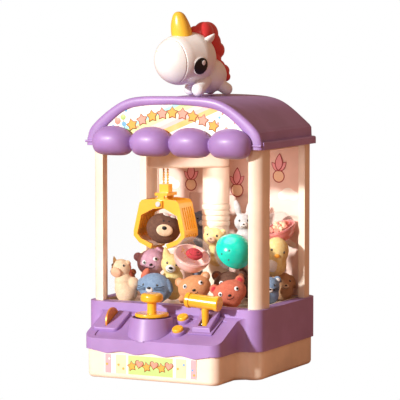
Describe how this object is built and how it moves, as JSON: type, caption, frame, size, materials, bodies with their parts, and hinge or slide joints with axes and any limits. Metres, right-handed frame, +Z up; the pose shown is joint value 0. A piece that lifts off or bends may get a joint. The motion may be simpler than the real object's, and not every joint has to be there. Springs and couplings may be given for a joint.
{
  "type": "toy claw crane machine",
  "caption": "Tabletop toy claw crane with arched roof, clear windows, sloping control deck, swinging arm, hanging two-jaw claw and soft prizes inside.",
  "frame": {"origin": "on the table under the centre of the whole toy", "axes": "+Z up, -Y towards the player, +X to the player's right"},
  "size_m": [0.222, 0.215, 0.4106],
  "materials": {
    "cream_plastic": "satin moulded",
    "lilac_plastic": "satin moulded",
    "yellow_plastic": "glossy",
    "gold_token": "pearl gold plastic",
    "gold_chain": "plated ball chain",
    "steel": "plated",
    "rubber": "matt",
    "battery_sleeve": "plain sleeve",
    "circuit_green": "laminate",
    "dark_plastic": "moulded",
    "printed_sign": "printed card",
    "printed_label": "printed film",
    "printed_wall": "printed sheet",
    "clear_pane": "clear sheet",
    "white_plastic": "glossy",
    "horn_yellow": "glossy",
    "red_mane": "glossy",
    "brown_plush": "short plush",
    "bear_plush": "short plush",
    "animal_plush": "short plush",
    "capsule_colour": "glossy",
    "capsule_clear": "clear shell"
  },
  "bodies": {
    "cabinet": {"arch_trim": "lilac_plastic", "awning": "lilac_plastic", "base_screws": "steel", "base_tray": "cream_plastic", "batteries": "battery_sleeve", "battery_cover": "cream_plastic", "bottom_plate": "cream_plastic", "button_collars": "lilac_plastic", "capsule_cups": "capsule_colour", "capsule_lids": "capsule_clear", "ceiling_plate": "cream_plastic", "circuit_board": "circuit_green", "coin_pad": "lilac_plastic", "column_base": "cream_plastic", "front_label": "printed_label", "hammer_block": "lilac_plastic", "hammer_pin": "steel", "joystick_boss": "lilac_plastic", "lower_housing": "lilac_plastic", "pillar_front_left": "cream_plastic", "pillar_front_right": "cream_plastic", "pillar_rear_left": "cream_plastic", "pillar_rear_right": "cream_plastic", "prize_animals": "animal_plush", "prize_bears": "bear_plush", "prize_floor": "cream_plastic", "rear_panel": "printed_wall", "roof_shell": "lilac_plastic", "rubber_feet": "rubber", "sign_panel": "printed_sign", "speaker": "dark_plastic", "unicorn_figure": "white_plastic", "unicorn_horn": "horn_yellow", "unicorn_mane": "red_mane", "window_front": "clear_pane", "window_left": "clear_pane", "window_right": "clear_pane"},
    "gimbal": {"gimbal_ring": "dark_plastic"},
    "joystick": {"joystick_stem": "yellow_plastic", "gimbal_pin": "steel", "joystick_disc": "yellow_plastic", "joystick_knob": "yellow_plastic"},
    "hammer": {"hammer_head": "yellow_plastic", "hammer_post": "yellow_plastic"},
    "upper_button": {"button_upper": "yellow_plastic"},
    "lower_button": {"button_lower": "yellow_plastic"},
    "coin": {"coin": "gold_token"},
    "arm": {"mast": "cream_plastic", "arm_housing": "cream_plastic", "arm_lid": "cream_plastic", "winch_motor": "dark_plastic"},
    "winch": {"winch_drum": "dark_plastic"},
    "claw": {"claw_crown": "yellow_plastic", "claw_pins": "steel", "chains": "gold_chain", "held_bear": "brown_plush"},
    "left_jaw": {"jaw_left": "yellow_plastic"},
    "right_jaw": {"jaw_right": "yellow_plastic"},
    "door": {"rear_door": "printed_wall", "door_knob": "printed_wall"}
  },
  "joints": [
    {"name": "joystick_tip", "type": "hinge", "parent": "cabinet", "child": "gimbal", "pos_m": [-0.0113, -0.0795, 0.064], "axis": [1, 0, 0], "range_deg": [-10, 10], "stiffness_Nm_per_rad": 0.05},
    {"name": "joystick_side", "type": "hinge", "parent": "gimbal", "child": "joystick", "pos_m": [-0.0113, -0.0795, 0.064], "axis": [0, 1, 0], "range_deg": [-10, 10], "stiffness_Nm_per_rad": 0.05},
    {"name": "hammer_pull", "type": "hinge", "parent": "cabinet", "child": "hammer", "pos_m": [0.052, -0.073, 0.0648], "axis": [1, 0, 0], "range_deg": [-14, 14], "stiffness_Nm_per_rad": 0.08},
    {"name": "upper_button_press", "type": "slide", "parent": "cabinet", "child": "upper_button", "axis": [0, 0.4179, -0.9085], "range_m": [0, 0.0018], "stiffness_N_per_m": 300, "springref_m": -0.001},
    {"name": "lower_button_press", "type": "slide", "parent": "cabinet", "child": "lower_button", "axis": [0, 0.4179, -0.9085], "range_m": [0, 0.0018], "stiffness_N_per_m": 300, "springref_m": -0.001},
    {"name": "coin_drop", "type": "slide", "parent": "cabinet", "child": "coin", "axis": [0, 0, -1], "range_m": [0, 0.012]},
    {"name": "arm_swing", "type": "hinge", "parent": "cabinet", "child": "arm", "pos_m": [0.006, 0.0495, 0.231], "axis": [0, 0, 1], "range_deg": [-15, 2]},
    {"name": "claw_lift", "type": "slide", "parent": "arm", "child": "claw", "axis": [0, 0, 1], "range_m": [0, 0.014], "deforming": ["chains"]},
    {"name": "winch_spin", "type": "hinge", "parent": "arm", "child": "winch", "pos_m": [-0.0405, 0.0125, 0.241], "axis": [0.6226, -0.7825, 0], "range_deg": [0, 165]},
    {"name": "left_jaw_open", "type": "hinge", "parent": "claw", "child": "left_jaw", "pos_m": [-0.0405, 0.0125, 0.19], "axis": [0, 1, 0], "range_deg": [0, 22], "stiffness_Nm_per_rad": 0.02, "springref_deg": -17.19},
    {"name": "right_jaw_open", "type": "hinge", "parent": "claw", "child": "right_jaw", "pos_m": [-0.0405, 0.0125, 0.19], "axis": [0, 1, 0], "range_deg": [-22, 0]},
    {"name": "rear_door_swing", "type": "hinge", "parent": "cabinet", "child": "door", "pos_m": [-0.0574, 0.0973, 0.15], "axis": [0, 0, 1], "range_deg": [0, 100]}
  ],
  "couplings": [
    {"joint": "winch_spin", "follows": "claw_lift", "rad_per_m": 200},
    {"joint": "right_jaw_open", "follows": "left_jaw_open", "ratio": -1}
  ]
}
